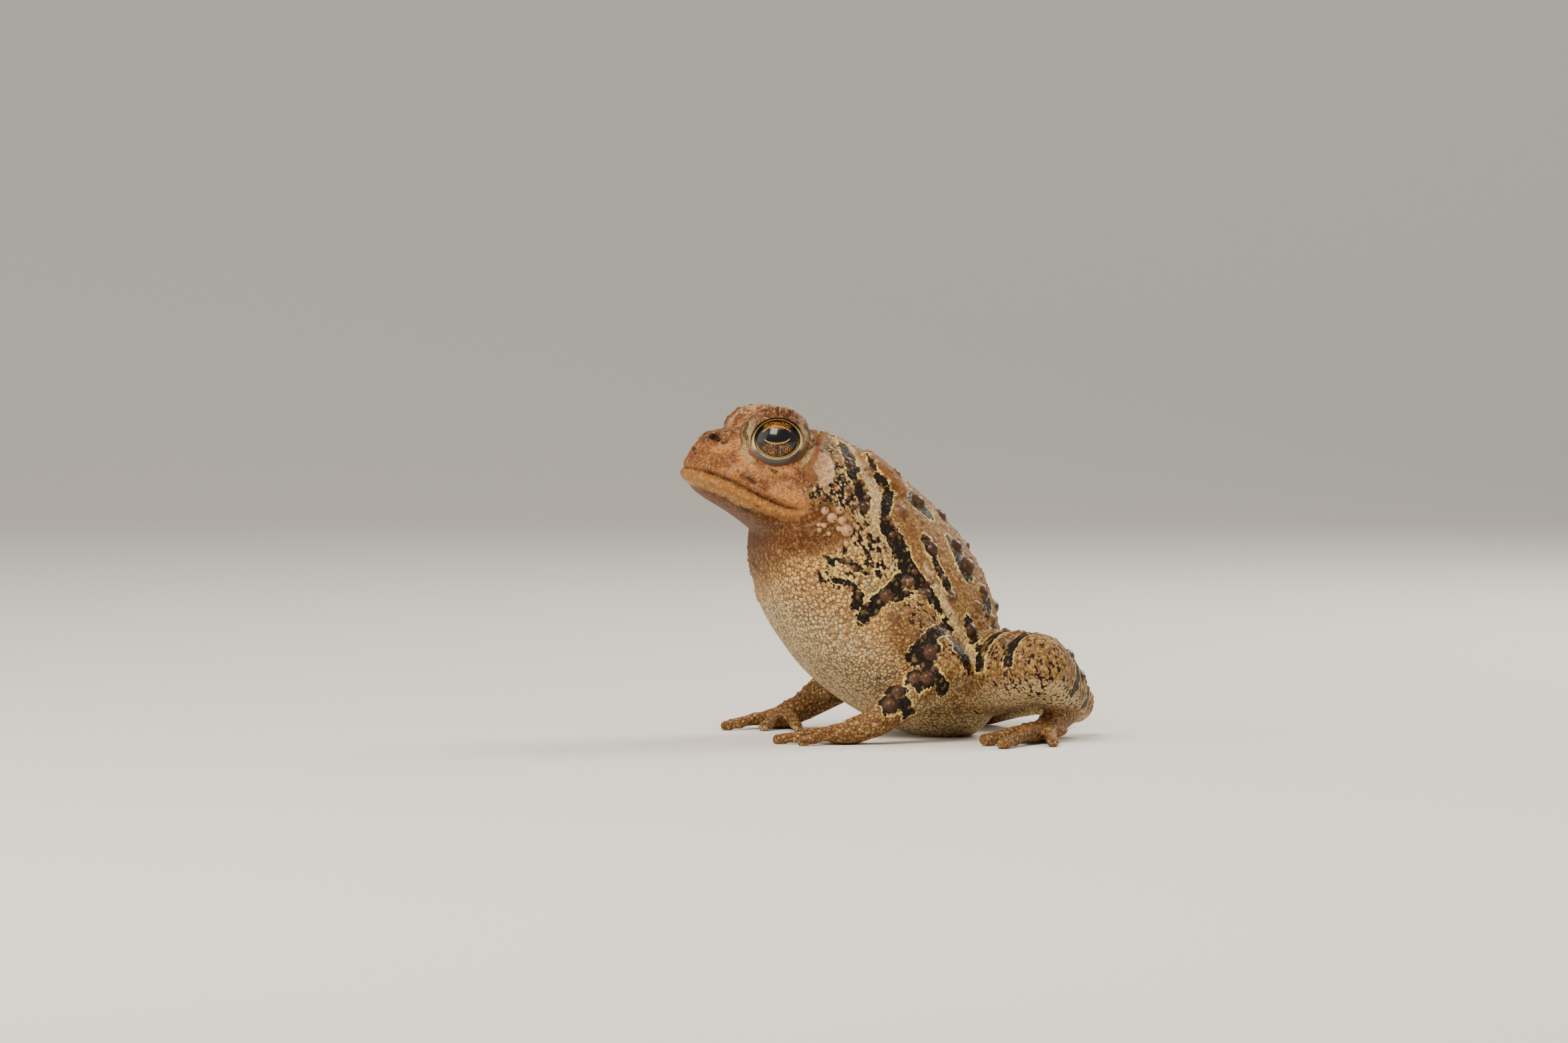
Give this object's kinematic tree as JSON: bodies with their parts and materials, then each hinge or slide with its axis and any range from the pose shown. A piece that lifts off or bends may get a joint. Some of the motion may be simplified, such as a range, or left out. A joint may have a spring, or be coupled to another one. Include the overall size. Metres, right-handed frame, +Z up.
{
  "type": "toad",
  "caption": "Life-size adult toad sitting up with its head raised, a still museum model with brown warty skin and gold-flecked eyes.",
  "frame": {"origin": "middle of the footprint, on the ground under the belly", "axes": "+Z up, -X the way that the toad faces, -Y to its left side"},
  "size_m": [0.061, 0.0763, 0.0497],
  "materials": {
    "skin": "matte",
    "jaw_skin": "matte",
    "eye": "gloss"
  },
  "bodies": {
    "root": {"torso": "skin", "head": "skin", "lower_jaw": "jaw_skin", "eye_left": "eye", "upper_arm_left": "skin", "forearm_left": "skin", "hand_left": "skin", "thigh_left": "skin", "shank_left": "skin", "foot_left": "skin", "eye_right": "eye", "upper_arm_right": "skin", "forearm_right": "skin", "hand_right": "skin", "thigh_right": "skin", "shank_right": "skin", "foot_right": "skin"}
  },
  "joints": []
}
